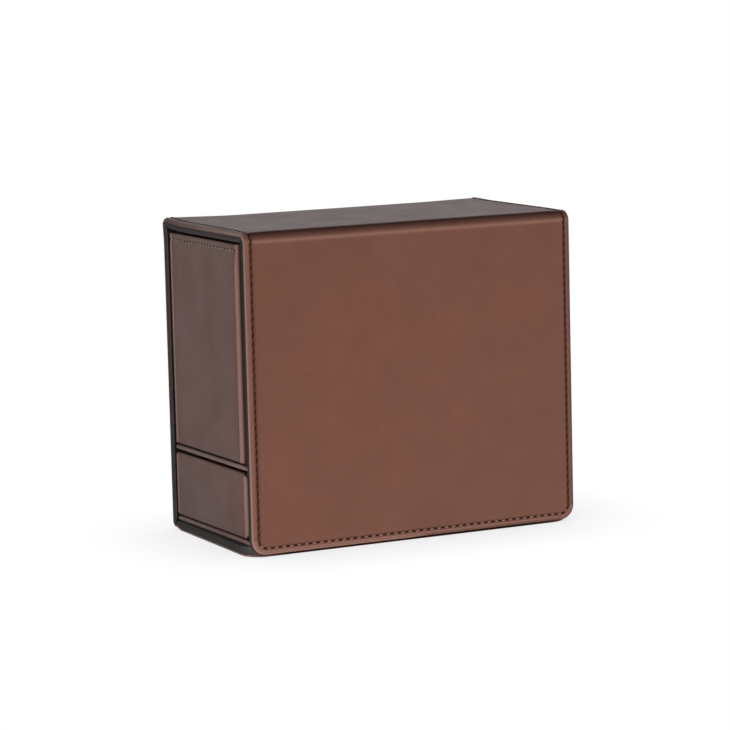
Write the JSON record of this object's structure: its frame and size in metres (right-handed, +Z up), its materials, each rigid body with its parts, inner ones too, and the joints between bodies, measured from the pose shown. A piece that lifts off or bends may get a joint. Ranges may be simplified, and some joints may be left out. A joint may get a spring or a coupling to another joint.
{
  "type": "trading card box",
  "caption": "Upright leatherette trading card box: a flip lid with a magnetic front flap opens onto card wells, and a drawer for dice and counters pulls out of one end below them.",
  "frame": {"origin": "middle of the closed box's underside, on the surface that it stands on", "axes": "+X along the box towards the closed end, drawer face at -X; +Y to the back, flap at -Y; +Z up"},
  "size_m": [0.1568, 0.0856, 0.138],
  "materials": {
    "leatherette": "smooth brown leatherette, fine grain, satin",
    "dark_lining": "dark grey brushed microfibre on board",
    "liner_cloth": "black-grey microfibre",
    "greyboard": "raw greyboard",
    "thread": "dark brown bonded thread",
    "magnet": "nickel plated"
  },
  "bodies": {
    "case": {"bottom_cover": "leatherette", "bottom_fold": "leatherette", "bottom_lining": "dark_lining", "bottom_stiffener": "greyboard", "back_cover": "leatherette", "back_thread": "thread", "back_stiffener": "greyboard", "back_lining": "dark_lining", "front_facing": "leatherette", "front_wall": "greyboard", "wall_magnets": "magnet", "back_wall": "leatherette", "shelf": "greyboard", "left_shelf_lip": "leatherette", "right_shelf_lip": "leatherette", "left_end_panel": "leatherette", "right_end_panel": "leatherette", "left_rim_thread": "thread", "left_end_board": "dark_lining", "right_end_board": "dark_lining", "right_rim_thread": "thread", "bay_end_panel": "leatherette", "partition": "liner_cloth", "left_well_liner": "liner_cloth", "right_well_liner": "liner_cloth"},
    "lid": {"rear_fold": "leatherette", "rear_fold_roll": "dark_lining", "lid_cover": "leatherette", "lid_thread": "thread", "lid_stiffener": "greyboard", "lid_lining": "dark_lining", "front_fold": "leatherette", "front_fold_lining": "dark_lining"},
    "flap": {"flap_cover": "leatherette", "flap_thread": "thread", "flap_stiffener": "greyboard", "flap_lining": "dark_lining", "flap_magnets": "magnet"},
    "drawer": {"drawer_floor": "leatherette", "drawer_lip": "leatherette", "drawer_face": "leatherette", "drawer_front_wall": "leatherette", "drawer_back_wall": "leatherette", "drawer_end_wall": "leatherette", "drawer_liner": "liner_cloth"}
  },
  "joints": [
    {"name": "lid_hinge", "type": "hinge", "parent": "case", "child": "lid", "pos_m": [0, 0.04224, 0.13744], "axis": [-1, 0, 0], "range_deg": [0, 175], "deforming": ["rear_fold", "rear_fold_roll"]},
    {"name": "flap_hinge", "type": "hinge", "parent": "lid", "child": "flap", "pos_m": [0, -0.04181, 0.13701], "axis": [-1, 0, 0], "range_deg": [0, 90], "deforming": ["front_fold", "front_fold_lining"]},
    {"name": "drawer_slide", "type": "slide", "parent": "case", "child": "drawer", "axis": [-1, 0, 0], "range_m": [0, 0.11]}
  ]
}
